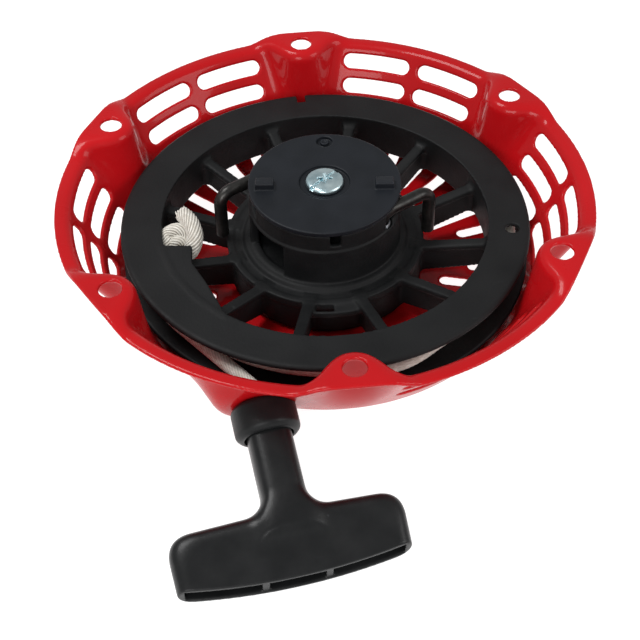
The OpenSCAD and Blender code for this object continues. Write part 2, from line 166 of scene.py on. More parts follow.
def make_piece(name, verts, faces, material, body, nodes):
    """A mesh piece from points in millimetres, riding on a body in place of CAD nodes."""
    mesh = bpy.data.meshes.new(name)
    verts = np.asarray(verts, np.float32) * MM
    faces = np.asarray(faces, np.int32)
    mesh.vertices.add(len(verts))
    mesh.vertices.foreach_set("co", verts.ravel())
    mesh.loops.add(faces.size)
    mesh.loops.foreach_set("vertex_index", faces.ravel())
    mesh.polygons.add(len(faces))
    mesh.polygons.foreach_set("loop_start", np.arange(0, faces.size, faces.shape[1], dtype=np.int32))
    mesh.update(calc_edges=True)
    mesh.validate()
    mesh.polygons.foreach_set("use_smooth", np.full(len(mesh.polygons), True))
    mesh.materials.append(material)
    piece = bpy.data.objects.new(name, mesh)
    bpy.context.scene.collection.objects.link(piece)
    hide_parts(*nodes)
    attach(piece, body)


def fold(x, y, step, phase=0.0):
    """Angle from the nearest of evenly spaced directions, in degrees."""
    angle = np.degrees(np.arctan2(y, x)) - phase
    return angle - step * np.round(angle / step)


def polygon_distance(x, y, points):
    """Signed distance to a closed outline, negative inside."""
    best = np.full(np.broadcast_shapes(x.shape, y.shape), 1e18)
    inside = np.zeros(best.shape, bool)
    for (ax, ay), (bx, by) in zip(points, points[1:] + points[:1]):
        dx, dy = bx - ax, by - ay
        t = np.clip(((x - ax) * dx + (y - ay) * dy) / (dx * dx + dy * dy), 0, 1)
        best = np.minimum(best, (x - ax - t * dx) ** 2 + (y - ay - t * dy) ** 2)
        if dy:
            inside ^= ((ay > y) != (by > y)) & (x < ax + (y - ay) * dx / dy)
    return np.where(inside, -1, 1) * np.sqrt(best)


def polar(r, angle):
    """The point at a radius and an angle in degrees."""
    return (r * math.cos(math.radians(angle)), r * math.sin(math.radians(angle)))


def turned(x, y, angle):
    """Coordinates along and across the direction at an angle, in degrees."""
    c, s = math.cos(math.radians(angle)), math.sin(math.radians(angle))
    return x * c + y * s, y * c - x * s


# ---- materials ----


class Nodes:
    """A material's node tree, with short calls for what the materials here share."""

    def __init__(self, name):
        self.material = bpy.data.materials.new(name)
        self.material.use_nodes = True
        self.tree = self.material.node_tree
        self.shader = self.tree.nodes["Principled BSDF"]
        self.coords = self.tree.nodes.new("ShaderNodeTexCoord").outputs["Object"]

    def link(self, a, b):
        self.tree.links.new(a, b)

    def noise(self, scale, detail, rough=0.5, stretch=None):
        node = self.tree.nodes.new("ShaderNodeTexNoise")
        node.inputs["Scale"].default_value = scale
        node.inputs["Detail"].default_value = detail
        node.inputs["Roughness"].default_value = rough
        source = self.coords
        if stretch:
            mapping = self.tree.nodes.new("ShaderNodeMapping")
            mapping.inputs["Scale"].default_value = stretch
            self.link(source, mapping.inputs["Vector"])
            source = mapping.outputs["Vector"]
        self.link(source, node.inputs["Vector"])
        return node.outputs["Fac"]

    def ramp(self, source, stops):
        node = self.tree.nodes.new("ShaderNodeValToRGB")
        for element, (place, colour) in zip(node.color_ramp.elements, stops):
            element.position = place
            element.color = (*colour, 1)
        self.link(source, node.inputs["Fac"])
        return node.outputs["Color"]

    def grey(self, source, low, high):
        """A grey between two levels, over the middle of a noise's range."""
        return self.ramp(source, [(0.3, (low,) * 3), (0.7, (high,) * 3)])

    def mix(self, fac, a, b):
        node = self.tree.nodes.new("ShaderNodeMix")
        node.data_type = "RGBA"
        self.link(fac, node.inputs["Factor"])
        for socket, value in ((node.inputs[6], a), (node.inputs[7], b)):
            if isinstance(value, tuple):
                socket.default_value = (*value, 1)
            else:
                self.link(value, socket)
        return node.outputs[2]

    def edge_wear_and_crease_shade(self, low, high):
        """Bright on convex edges and dark in creases, from the mesh's own curvature, for edge wear and for painted
        shade in creases.
        """
        geometry = self.tree.nodes.new("ShaderNodeNewGeometry")
        return self.ramp(geometry.outputs["Pointiness"], [(low, (0, 0, 0)), (high, (1, 1, 1))])

    def bump(self, height, strength, distance, below=None):
        node = self.tree.nodes.new("ShaderNodeBump")
        node.inputs["Strength"].default_value = strength
        node.inputs["Distance"].default_value = distance
        self.link(height, node.inputs["Height"])
        if below is not None:
            self.link(below, node.inputs["Normal"])
        return node.outputs["Normal"]

    def finish(self, colour, rough, normal=None, metallic=0.0, coat=0.0, coat_rough=0.05, specular=0.5):
        self.link(colour, self.shader.inputs["Base Color"])
        if isinstance(rough, float):
            self.shader.inputs["Roughness"].default_value = rough
        else:
            self.link(rough, self.shader.inputs["Roughness"])
        if normal is not None:
            self.link(normal, self.shader.inputs["Normal"])
        self.shader.inputs["Metallic"].default_value = metallic
        self.shader.inputs["Coat Weight"].default_value = coat
        self.shader.inputs["Coat Roughness"].default_value = coat_rough
        self.shader.inputs["Specular IOR Level"].default_value = specular
        return self.material


def red_enamel():
    """Glossy paint with a slight orange peel, paler where it thins over edges."""
    n = Nodes("red_enamel")
    tone = n.mix(n.grey(n.noise(18, 2), 0, 1), (0.39, 0.004, 0.006), (0.47, 0.006, 0.009))
    colour = n.mix(n.edge_wear_and_crease_shade(0.54, 0.62), tone, (0.62, 0.015, 0.018))
    rough = n.grey(n.noise(90, 4), 0.24, 0.34)
    normal = n.bump(n.noise(420, 2), 0.05, 0.0004)
    return n.finish(colour, rough, n.bump(n.noise(45, 2), 0.10, 0.0008, normal),
                    coat=0.24, coat_rough=0.06, specular=0.08)


def moulded(name, dark, pale, rough_low, rough_high, grain, strength, coat=0.0):
    """Black moulded plastic with a fine grain, faint scuffs and paler worn edges."""
    n = Nodes(name)
    tone = n.mix(n.grey(n.noise(60, 4), 0, 1), dark, pale)
    scuff = n.ramp(n.noise(70, 6, 0.7, (1, 6, 1)), [(0.62, (0, 0, 0)), (0.76, (0.5, 0.5, 0.5))])
    tone = n.mix(scuff, tone, tuple(2.0 * c for c in pale))
    colour = n.mix(n.edge_wear_and_crease_shade(0.53, 0.66), tone, tuple(2.4 * c for c in pale))
    rough = n.grey(n.noise(120, 4), rough_low, rough_high)
    return n.finish(colour, rough, n.bump(n.noise(grain, 3), strength, 0.0003),
                    coat=coat, coat_rough=0.25, specular=0.2)


def zinc():
    """Plated steel with a bluish, uneven shine."""
    n = Nodes("zinc_steel")
    tone = n.mix(n.grey(n.noise(160, 4), 0, 1), (0.40, 0.55, 0.60), (0.62, 0.74, 0.76))
    rough = n.grey(n.noise(300, 4), 0.22, 0.40)
    return n.finish(tone, rough, n.bump(n.noise(900, 2), 0.08, 0.0002), metallic=1.0)


def dark_steel(name, dark, pale):
    """Bare or blackened steel with a mottled surface."""
    n = Nodes(name)
    tone = n.mix(n.grey(n.noise(200, 5, 0.7), 0, 1), dark, pale)
    rough = n.grey(n.noise(260, 4), 0.30, 0.48)
    return n.finish(tone, rough, n.bump(n.noise(700, 3), 0.12, 0.0002), metallic=0.85)


def rope_fibre():
    """Off-white yarn, with painted shade that darkens the creases between strands."""
    n = Nodes("rope_fibre")
    tone = n.mix(n.grey(n.noise(500, 4, 0.6), 0, 1), (0.60, 0.56, 0.48), (0.86, 0.84, 0.78))
    # Painted shade: the creases between strands, found from the mesh's curvature, take a dark brown-grey as if in
    # shadow.
    painted_crease_shade = n.edge_wear_and_crease_shade(0.43, 0.53)
    colour = n.mix(painted_crease_shade, (0.20, 0.18, 0.15), tone)
    material = n.finish(colour, 0.75, n.bump(n.noise(1400, 4, 0.6), 0.45, 0.0003))
    n.shader.inputs["Sheen Weight"].default_value = 0.25
    return material


ENAMEL = red_enamel()
BLACK, BLACK_WORN = (0.005, 0.0055, 0.006), (0.009, 0.0095, 0.010)
REEL_BLACK = moulded("reel_plastic", BLACK, BLACK_WORN, 0.50, 0.66, 900, 0.30)
GUIDE_BLACK = moulded("guide_plastic", (0.006, 0.0075, 0.010), (0.010, 0.012, 0.016),
                      0.38, 0.52, 1100, 0.12)
GRIP_BLACK = moulded("grip_plastic", BLACK, BLACK_WORN, 0.28, 0.42, 700, 0.16, 0.12)
OUTLET_BLACK = moulded("outlet_plastic", (0.006, 0.0065, 0.007), (0.011, 0.0115, 0.012),
                       0.32, 0.46, 800, 0.16)
ZINC = zinc()
OXIDE = dark_steel("oxide_steel", (0.016, 0.016, 0.016), (0.052, 0.050, 0.047))
SPRING = dark_steel("spring_steel", (0.16, 0.17, 0.19), (0.30, 0.31, 0.33))
ROPE = rope_fibre()
FINISH_OF = {
    "red_enamel": ENAMEL, "reel_plastic": REEL_BLACK, "guide_plastic": GUIDE_BLACK,
    "grip_plastic": GRIP_BLACK, "outlet_plastic": OUTLET_BLACK, "zinc_steel": ZINC,
    "oxide_steel": OXIDE, "spring_steel": SPRING, "rope_fibre": ROPE,
}
# The CAD solids that no piece below replaces are shown as they are, in these materials
for part in frame["record"]["subparts"]:
    data = frame["nodes"][part["node"]].data
    data.materials.clear()
    data.materials.append(FINISH_OF[part["material_slot"]])

# ---- case ----

RIM_BEND = 3.0
TABLE_STEP = 0.2
# The bulge round the rope outlet: a cone from its wide end, back in the case, to its front face
BULGE_BACK, BULGE_FRONT, BULGE_TOP = -26, 5, -7.5
BULGE_R, BULGE_DROP = 25.9, 12.3
OUTLET_BORE_R = 8.1
RECESS_FLARE = 88.5
# Wall slots, in rows at these depths on both sides of the middle of each panel
WALL_SLOT_Z, WALL_SLOT_OFFSET, WALL_SLOT_SPAN, WALL_SLOT_HALF = (-10.1, -18.8, -27.5), 10, 17.4, 3
# Bottom slots, long and short by turns; those away from the outlet run on into the rounded corner
FLOOR_SLOT_FIRST, FLOOR_SLOT_STEP, FLOOR_SLOT_COUNT, FLOOR_SLOT_HALF = -93, 9.57, 32, 2.25
FLOOR_SLOT_LONG_FROM, FLOOR_SLOT_SHORT_FROM, FLOOR_SLOT_END, FLOOR_SLOT_FAR_END = 44.5, 55.0, 66.8, 74.2
FIRST_FAR_SLOT, LAST_FAR_SLOT = 10, 26


def profile_distance():
    """Signed distance to the case's mid surface over (radius, height), negative inside the bowl."""
    half = SHEET / 2
    corner = np.radians(np.linspace(-90, -math.degrees(WALL), 12))
    corner_z = BOTTOM + CORNER_R
    r = CORNER_R - half
    line = [(0.0, BOTTOM + half)]
    line += [(BOTTOM_R + r * math.cos(a), corner_z + r * math.sin(a)) for a in corner]
    rim_z = FLANGE_TOP - half
    foot = np.array(line[-1])
    along = np.array([math.sin(WALL), math.cos(WALL)])
    meet = foot + along * (rim_z - foot[1]) / along[1]
    cut = RIM_BEND * math.tan((math.pi / 2 - WALL) / 2)
    centre = meet - along * cut + RIM_BEND * np.array([math.cos(WALL), -math.sin(WALL)])
    for a in np.linspace(math.pi - WALL, math.pi / 2, 8):
        line.append((centre[0] + RIM_BEND * math.cos(a), centre[1] + RIM_BEND * math.sin(a)))
    line.append((RIM_R + 60, rim_z))
    line = np.array(line)
    rs, zs = np.arange(0, 150, TABLE_STEP), np.arange(-60, 12, TABLE_STEP)
    p = np.stack(np.meshgrid(rs, zs, indexing="ij"), -1)
    best = np.full(p.shape[:2], 1e9)
    for a, b in zip(line[:-1], line[1:]):
        d = b - a
        t = np.clip(((p - a) @ d) / (d @ d), 0, 1)[..., None]
        best = np.minimum(best, np.linalg.norm(p - a - t * d, axis=-1))
    height = np.interp(rs, line[:, 0], line[:, 1])
    return rs, zs, np.where(zs[None, :] > height[:, None], -best, best).astype(np.float32)


RS, ZS, PROFILE = profile_distance()


def bowl_distance(r, z):
    """Distance to the case's mid surface, read from the table between its points."""
    i = np.clip((r - RS[0]) / TABLE_STEP, 0, len(RS) - 1.001)
    j = np.clip((z - ZS[0]) / TABLE_STEP, 0, len(ZS) - 1.001)
    i0, j0 = i.astype(int), j.astype(int)
    u, v = i - i0, j - j0
    return ((PROFILE[i0, j0] * (1 - u) + PROFILE[i0 + 1, j0] * u) * (1 - v)
            + (PROFILE[i0, j0 + 1] * (1 - u) + PROFILE[i0 + 1, j0 + 1] * u) * v)


def outlet_coords(x, y, z):
    """Distance along the rope outlet's axis, and away from it."""
    d = [x - OUTLET_AT[0], y - OUTLET_AT[1], z - OUTLET_AT[2]]
    along = d[0] * PULL[0] + d[1] * PULL[1] + d[2] * PULL[2]
    off = np.sqrt(np.maximum(d[0] ** 2 + d[1] ** 2 + d[2] ** 2 - along ** 2, 0))
    return along, off


def case_field(x, y, z):
    """The pressed case: bowl, bulge and tab recesses as one skin, then the rim, holes and slots cut."""
    half = SHEET / 2
    r = np.hypot(x, y)
    tab = np.radians(fold(x, y, 60, 90))
    across, out = np.abs(r * np.sin(tab)), r * np.cos(tab)
    along, off = outlet_coords(x, y, z)
    cone_r = BULGE_R - (along - BULGE_BACK) * BULGE_DROP / (BULGE_FRONT - BULGE_BACK)
    cone = np.maximum((off - cone_r) * 0.93, BULGE_BACK - along)
    bulge = smax(cone, along - (BULGE_FRONT - half), 5.0)
    bulge = smax(bulge, smax(BOTTOM + half - z, z - BULGE_TOP, 2.0), 2.0)
    room = smin(bowl_distance(r, z), bulge, 4.0)
    nose = np.hypot(across, out - NOSE_AT) - (NOSE_R + half - DRAFT * z)
    # The recess round a tab's hole widens outwards along two straight lines
    line_a = ((across - 8.35) * 5.5 - (out - RECESS_FLARE) * 5.0) / 7.43
    line_b = ((across - 13.35) * 2.5 - (out - 94.0) * 3.1) / 3.98
    spread = smax(smin(line_a, line_b, 3.0), RECESS_FLARE - out, 3.0)
    side = (across - (11.8 + half - np.maximum(z, -4.2) * 1.1)) * 0.70
    form = smax(smax(smin(nose, spread, 4.0), side, 2.0), z + half, 4.2)
    skin = smin(-room, form, 4.5)
    sheet = np.abs(skin) - half
    sheet = smax(sheet, r - RIM_R, 0.9)
    sheet = smax(sheet, np.where(z > FLANGE_TOP, out - (RIM_R - 0.6), -9.0), 0.8)
    sheet = smax(sheet, HOLE_R - np.hypot(across, out - BOLT_R), 0.5)
    sheet = smax(sheet, np.where(along > -2, OUTLET_BORE_R - off, -9.0), 0.6)
    panel = fold(x, y, 60)
    slot = np.full(np.broadcast_shapes(x.shape, z.shape), FAR_AWAY, np.float32)
    for depth in WALL_SLOT_Z:
        mid = WALL_FOOT_R + (depth - WALL_FOOT_Z) * math.tan(WALL)
        up = (z - depth) * math.cos(WALL) + (r - mid) * math.sin(WALL)
        half_l = math.radians(WALL_SLOT_SPAN) * mid / 2 - WALL_SLOT_HALF
        arc = np.maximum(np.abs(np.radians(np.abs(panel) - WALL_SLOT_OFFSET) * mid) - half_l, 0)
        slot = np.minimum(slot, np.hypot(arc, up) - WALL_SLOT_HALF)
    angle = np.degrees(np.arctan2(y, x))
    slot = np.where((np.abs(angle + 120) < 30) | (r < 70), FAR_AWAY, slot)
    turn = np.mod(angle - FLOOR_SLOT_FIRST + FLOOR_SLOT_STEP / 2, 360) - FLOOR_SLOT_STEP / 2
    number = np.clip(np.round(turn / FLOOR_SLOT_STEP), 0, FLOOR_SLOT_COUNT - 1)
    start = np.where(number % 2 == 0, FLOOR_SLOT_LONG_FROM, FLOOR_SLOT_SHORT_FROM) + FLOOR_SLOT_HALF
    far = (number >= FIRST_FAR_SLOT) & (number <= LAST_FAR_SLOT)
    end = np.where(far, FLOOR_SLOT_FAR_END, FLOOR_SLOT_END) - FLOOR_SLOT_HALF
    off_line = np.radians(turn - number * FLOOR_SLOT_STEP)
    run, wide = r * np.cos(off_line), r * np.sin(off_line)
    past = np.maximum(np.maximum(start - run, run - end), 0)
    floor_slot = np.where(z < -35, np.hypot(past, wide) - FLOOR_SLOT_HALF, FAR_AWAY)
    return smax(sheet, -np.minimum(slot, floor_slot), 0.6)


verts, quads = surface_mesh(case_field, (-RIM_R, -RIM_R, BOTTOM), (RIM_R, RIM_R, 0), 0.62)
make_piece("case_pressing", verts, quads, ENAMEL, "case", ["case_shell"])

# ---- reel ----

RING_MID, RING_HALF = (RING_TOP + RING_LOW) / 2, (RING_TOP - RING_LOW) / 2
FLANGE_HOLE_AT, FLANGE_HOLE_ANGLE, FLANGE_HOLE_R = 69.7, -12, 2.5
FLANGE_NOTCH_ANGLE = 91.5
SPOKE_RISE, SPOKE_HALF, FIN_HALF, SPOKE_FROM, FIN_FROM = 0.195, 2.1, 1.1, 33, 34
# The web's wider part, with the slot that holds the recoil spring's hook
HOOK_WEB_ANGLE, HOOK_WEB_HALF, HOOK_WEB_R = -90.5, 15, 41.6
KNOT_HOLE_ANGLE, KNOT_HOLE_Z, KNOT_HOLE_R = -174, -22, 2.9
HOOK_SLOT_ANGLE, HOOK_SLOT_R = -96.6, 38.8
BOSS_R, PAWL_POCKET_R, PAWL_BORE_R, SPRING_ROOM_R = 4.4, 4.0, 2.46, 11.5
# Openings in the barrel, each made twice, half a turn apart: first and last angle, low and high end
BARREL_OPENINGS = ((138.5, 197.5, DECK_TOP - 0.15, 9), (187, 231, WEB_TOP + 2, DECK_TOP - DECK_T),
                   (268, 276, DECK_TOP + 1, 9))
# The plate over the knot, inside the ring: its free edge and then the ring's
KNOT_PLATE = [polar(62.4, -171.5), polar(52.0, -168.3), polar(54.7, -159.5), polar(55.2, -148.0),
              polar(58.6, -137.0), polar(62.4, -130.0), polar(62.4, -143.0), polar(62.4, -157.0)]


def reel_field(x, y, z):
    """The reel: rope ring, spokes, web, spring housing, barrel with its deck, sleeve and knot plate."""
    r = np.hypot(x, y)
    ring = np.maximum(RING_R - r, np.maximum(r - FLANGE_R, np.abs(z - RING_MID) - RING_HALF))
    groove = np.maximum(DRUM_R - r, np.abs(z - RING_MID) - (RING_HALF - FLANGE_T))
    ring = smax(ring, -groove, 0.8)
    ring = smax(ring, (RING_R + RING_TOP - 1.9 - r + z) * 0.707, 1.4)
    ring = smax(ring, (r - FLANGE_R + z - RING_TOP + 0.8) * 0.707, 0.8)
    hole_x, hole_y = turned(x, y, FLANGE_HOLE_ANGLE)
    ring = smax(ring, FLANGE_HOLE_R - np.hypot(hole_x - FLANGE_HOLE_AT, hole_y), 0.5)
    notch_x, notch_y = turned(x, y, FLANGE_NOTCH_ANGLE)
    notch = np.maximum(np.maximum(FLANGE_R - 5 - notch_x, np.abs(notch_y) - 1.7), RING_TOP - 4 - z)
    ring = smax(ring, -notch, 0.4)
    spoke_angle = np.radians(fold(x, y, SPOKE_STEP, SPOKE_PHASE))
    out, across = r * np.cos(spoke_angle), np.abs(r * np.sin(spoke_angle))
    top = WEB_TOP - 0.2 + np.clip(out - 33.8, 0, 30) * SPOKE_RISE
    ends = out - (RING_R + 0.5)
    bar = np.maximum(across - SPOKE_HALF, np.abs(z - top + 1) - 1)
    bar = np.maximum(bar, np.maximum(SPOKE_FROM - out, ends))
    fin = np.maximum(np.maximum(across - FIN_HALF, z - top), np.maximum(FIN_FROM - out, ends))
    fin = np.maximum(fin, (-37.5 + (out - 35.8) * 0.265 - z) * 0.96)
    spoke = smin(bar, fin, 1.2)
    web_z = np.abs(z - WEB_TOP + WEB_T / 2) - WEB_T / 2
    web = np.maximum(r - HOUSING_R, web_z)
    angle = np.degrees(np.arctan2(y, x))
    wide = np.maximum(r - HOOK_WEB_R, web_z)
    wide = np.where(np.abs(angle - HOOK_WEB_ANGLE) < HOOK_WEB_HALF, wide, 9.0)
    web = np.minimum(web, wide)
    hook = np.radians(angle - HOOK_SLOT_ANGLE) * HOOK_SLOT_R
    web = smax(web, -np.maximum(np.abs(r - HOOK_SLOT_R) - 1.5, np.abs(hook) - 3.4), 0.4)
    drum = np.maximum(np.abs(r - (HOUSING_R - 0.75)) - 0.75, np.abs(z - (HOUSING_LOW + WEB_TOP) / 2)
                      - (WEB_TOP - HOUSING_LOW) / 2)
    wall_r = np.where(z > BARREL_TOP, HUB_R - 0.5, HUB_R + 0.2)
    barrel = np.maximum(r - wall_r, np.maximum(WEB_TOP - 0.5 - z, z - TIER_TOP))
    cup = np.maximum(r - (HUB_R - BARREL_T), DECK_TOP - z)
    under = np.maximum(np.maximum(r - (HUB_R - BARREL_T), SLEEVE_R - r), z - (DECK_TOP - DECK_T))
    pivot = np.minimum(np.hypot(x - PIVOT[0], y - PIVOT[1]), np.hypot(x + PIVOT[0], y + PIVOT[1]))
    barrel = smax(barrel, -cup, 0.6)
    barrel = smax(barrel, -np.maximum(under, BOSS_R - pivot), 0.8)
    half_turn = np.mod(angle, 180)
    shell = np.abs(r - HUB_R + 1) - 3.0
    for start, end, low, high in BARREL_OPENINGS:
        mid = np.mod((start + end) / 2, 180)
        swing = np.abs(np.mod(half_turn - mid + 90, 180) - 90)
        cut = np.maximum(np.radians(swing - (end - start) / 2) * HUB_R, np.maximum(low - z, z - high))
        barrel = smax(barrel, -np.maximum(cut, shell), 0.8)
    barrel = smax(barrel, -np.maximum(pivot - PAWL_POCKET_R, DECK_TOP - 3 - z), 0.4)
    barrel = smax(barrel, -(pivot - PAWL_BORE_R), 0.3)
    ledge = np.maximum(np.abs(r - 29) - 2, np.maximum(WEB_TOP - 0.5 - z, z - WEB_TOP - 1.6))
    ledge = smax(ledge, (r - 31 + z - WEB_TOP - 0.7) * 0.707, 0.6)
    sleeve = np.maximum(r - SLEEVE_R, np.maximum(HOUSING_LOW - z, z - DECK_TOP - 0.9))
    plate = polygon_distance(x, y, KNOT_PLATE) - 0.8
    plate = smax(plate, np.abs(z - RING_TOP + FLANGE_T / 2) - FLANGE_T / 2, 0.5)
    body = smin(smin(ring, spoke, 2.4), smin(web, drum, 1.5), 1.6)
    body = smin(smin(body, smin(barrel, ledge, 0.8), 1.0),
                smin(sleeve, np.maximum(plate, r - 63), 0.8), 0.8)
    bore = np.minimum(r - BORE_R, np.maximum(r - SPRING_ROOM_R, z - HOUSING_LOW - 11.6))
    exit_x, exit_y = turned(x, y, KNOT_HOLE_ANGLE)
    knot_hole = np.maximum(np.hypot(exit_y, z - KNOT_HOLE_Z) - KNOT_HOLE_R,
                           np.maximum(58 - exit_x, exit_x - 66))
    return smax(smax(body, -bore, 0.5), -knot_hole, 0.5)


verts, quads = surface_mesh(reel_field, (-FLANGE_R, -FLANGE_R, HOUSING_LOW),
                            (FLANGE_R, FLANGE_R, TIER_TOP), 0.5)
make_piece("reel_moulding", verts, quads, REEL_BLACK, "reel", ["reel"])

# ---- ratchet guide, screw and rope outlet ----

LUG_ANGLE, LUG_IN, LUG_OUT, LUG_MID, LUG_HALF = 174, 18.5, 25.2, 2.1, 2.5
CAM_AT, CAM_ANGLE, CAM_R = 25.79, 168.47, 1.5
DIMPLE_AT, DIMPLE_ANGLE, DIMPLE_R = 23.3, 84, 2.3
DISH_R, SCREW_BORE_R = 9.3, 4.06


def guide_field(x, y, z):
    """The ratchet guide: a dished disc with two lugs, two cam pins and a ring-shaped dimple."""
    r = np.hypot(x, y)
    disc = smax(r - GUIDE_R, np.abs(z - GUIDE_TOP + GUIDE_T / 2) - GUIDE_T / 2, 0.5)
    disc = smin(disc, np.maximum(r - 6.4, np.abs(z + 2.6) - 2.0), 0.5)
    for half in (0, 180):
        u, v = turned(x, y, LUG_ANGLE + half)
        near = v if half == 0 else -v
        height = GUIDE_TOP + 2.1 + (near + 0.4) * 0.15
        lug = np.maximum(np.abs(u - (LUG_IN + LUG_OUT) / 2) - (LUG_OUT - LUG_IN) / 2,
                         np.abs(near - LUG_MID) - LUG_HALF)
        lug = smax(lug, np.maximum(z - height, GUIDE_TOP - 0.5 - z), 0.7)
        disc = smin(disc, lug, 0.5)
        u, v = turned(x, y, CAM_ANGLE + half)
        disc = np.minimum(disc, np.maximum(np.hypot(u - CAM_AT, v) - CAM_R, np.maximum(-5.6 - z, z)))
    disc = smax(disc, -smax(r - DISH_R, GUIDE_TOP - 1.0 - z, 0.5), 0.5)
    disc = np.maximum(disc, SCREW_BORE_R - r)
    u, v = turned(x, y, DIMPLE_ANGLE)
    ring = np.abs(np.hypot(u - DIMPLE_AT, v) - DIMPLE_R) - 0.75
    disc = smax(disc, -np.maximum(ring, GUIDE_TOP - 1.3 - z), 0.3)
    middle = np.hypot(u - DIMPLE_AT, v) - 1.0
    return smax(disc, -np.maximum(middle, GUIDE_TOP - 0.6 - z), 0.3)


verts, quads = surface_mesh(guide_field, (-GUIDE_R, -GUIDE_R, -5.6), (GUIDE_R, GUIDE_R, 4.1), 0.26)
make_piece("guide_moulding", verts, quads, GUIDE_BLACK, "guide", ["ratchet_guide"])

SLOT_ANGLE, HEAD_R, SHANK_R, THREAD_R, THREAD_PITCH = 40, 7.0, 4.0, 3.0, 1.0


def screw_field(x, y, z):
    """The centre screw: a domed head with a slot, a cross recess and rim notches, over its thread."""
    r = np.hypot(x, y)
    head = smax(smax(r - HEAD_R, z - (3.0 - (r / HEAD_R) ** 2 * 0.75), 1.3), 0.5 - z, 0.4)
    u, v = turned(x, y, SLOT_ANGLE)
    slot = np.maximum(np.abs(v) - 0.55, 2.0 - z)
    notch = np.maximum(np.abs(v) - 0.9, np.maximum(5.9 - np.abs(u), 1.2 - z))
    head = smax(head, -np.minimum(slot, notch), 0.15)
    for angle in (SLOT_ANGLE + 45, SLOT_ANGLE + 135):
        u, v = turned(x, y, angle)
        arm = np.maximum(np.abs(v) - 0.55, np.abs(u) - (0.8 + (z - 0.6) * 0.95))
        head = smax(head, -np.maximum(arm, 0.8 - z), 0.2)
    shank = np.maximum(r - SHANK_R, np.maximum(-5 - z, z - 0.8))
    wave = np.mod((z + np.arctan2(y, x) / (2 * math.pi)) / THREAD_PITCH, 1) * 2 - 1
    thread = np.maximum(r - (THREAD_R - 0.25 * np.abs(wave)), np.maximum(-18 - z, z + 4.5))
    return np.minimum(head, np.minimum(shank, thread))


verts, quads = surface_mesh(screw_field, (-HEAD_R, -HEAD_R, -18), (HEAD_R, HEAD_R, 3), 0.14)
make_piece("screw_turned", verts, quads, ZINC, "case", ["centre_screw"])


def from_outlet(points):
    """CAD-frame points from ones given across, over and along the rope outlet."""
    points = np.asarray(points, float)
    return OUTLET_AT + points[:, :1] * SIDE + points[:, 1:2] * OVER + points[:, 2:3] * PULL


COLLAR_R, COLLAR_MID, COLLAR_HALF = 11.2, 11.05, 5.95
NECK_R, NECK_FLANGE_R, SOCKET_R, ROPE_BORE_R = 8.0, 9.3, 8.4, 3.0


def collar_field(u, v, w):
    """The rope outlet: a collar outside the case, a neck through its hole and a flange inside."""
    r = np.hypot(u, v)
    collar = smax(r - COLLAR_R, np.abs(w - COLLAR_MID) - COLLAR_HALF, 0.8)
    collar = smax(collar, (r + w - 26.5) * 0.707, 0.7)
    collar = smax(collar, (r - w - 4.7) * 0.707, 0.7)
    place = [OUTLET_AT[k] + u * SIDE[k] + v * OVER[k] + w * PULL[k] for k in range(3)]
    wall = bowl_distance(np.hypot(place[0], place[1]), place[2])
    collar = smax(collar, SHEET / 2 + 0.15 - wall, 0.5)
    neck = np.maximum(r - NECK_R, np.abs(w - 4.5) - 3.5)
    flange = smax(r - NECK_FLANGE_R, np.abs(w - 2.15) - 1.15, 0.4)
    body = np.minimum(collar, np.minimum(neck, flange))
    body = smax(body, -np.maximum(r - SOCKET_R, 13.0 - w), 0.5)
    return smax(body, ROPE_BORE_R - r + np.maximum(4.0 - w, 0) * 0.9, 0.6)


verts, quads = surface_mesh(collar_field, (-COLLAR_R, -COLLAR_R, 1), (COLLAR_R, COLLAR_R, 17), 0.28)
make_piece("outlet_collar", from_outlet(verts), quads, OUTLET_BLACK, "case",
           ["rope_guide"])

# ---- grip ----

BAR_START, BAR_END, BAR_HALF, BAR_SHIFT = 42.6, 68.2, 39.5, -1.3
BAR_HALF_T, BAR_TAPER, BAR_EDGE, END_DRAFT = 6.3, 0.074, 1.9, 0.04
BAR_DROOP, BAR_SLANT = math.tan(math.radians(2.3)), math.tan(math.radians(10.3))
BAR_ARC, RIB_AT, RIB_HALF, CELL_HALF, CELL_START = 221.0, 10.5, 1.3, 3.0, 50.6
STEM_START, STEM_R, STEM_POWER, GRIP_HALF_T = 13.3, 7.6, 3.0, 8.0
KNOT_ROOM_R, KNOT_ROOM_AT, KNOT_ROOM_HALF = 5, 44.4, 6.8


def grip_field(u, v, w):
    """The handle: a tapered bar on a squarish stem, with open cells and ribs in its free edge."""
    across = np.abs(u - BAR_SHIFT)
    depth = w - BAR_START
    shoulder = BAR_START + across * BAR_DROOP - w
    end = across - (BAR_HALF - depth * END_DRAFT)
    face = np.abs(v) - (BAR_HALF_T - depth * BAR_TAPER)
    bar = smax(smax(shoulder, end, 8.5), face, 5.5)
    slanted = w - (BAR_END - BAR_EDGE) + v * BAR_SLANT
    bar = smax(bar, np.hypot(across, slanted + BAR_ARC) - BAR_ARC, 0.6)
    stem = (np.abs(u) ** STEM_POWER + np.abs(v) ** STEM_POWER) ** (1 / STEM_POWER) - STEM_R
    stem = smax(stem, np.maximum(STEM_START - w, w - 48), 1.4)
    body = smax(smin(bar, stem, 7.0), np.abs(v) - GRIP_HALF_T, 1.5)
    cell = np.maximum(np.maximum(np.abs(v) - CELL_HALF, CELL_START - w),
                      across - (BAR_HALF - 2.5 - depth * END_DRAFT))
    rib = smax(np.abs(across - RIB_AT) - RIB_HALF, slanted + 0.5 + across ** 2 / (2 * BAR_ARC), 0.4)
    body = smax(body, -np.maximum(cell, -rib), 0.5)
    room = np.maximum(np.hypot(u, v) - KNOT_ROOM_R, np.abs(w - KNOT_ROOM_AT) - KNOT_ROOM_HALF)
    bore = np.minimum(np.hypot(u, v) - ROPE_BORE_R, room)
    return smax(body, -bore, 0.4)


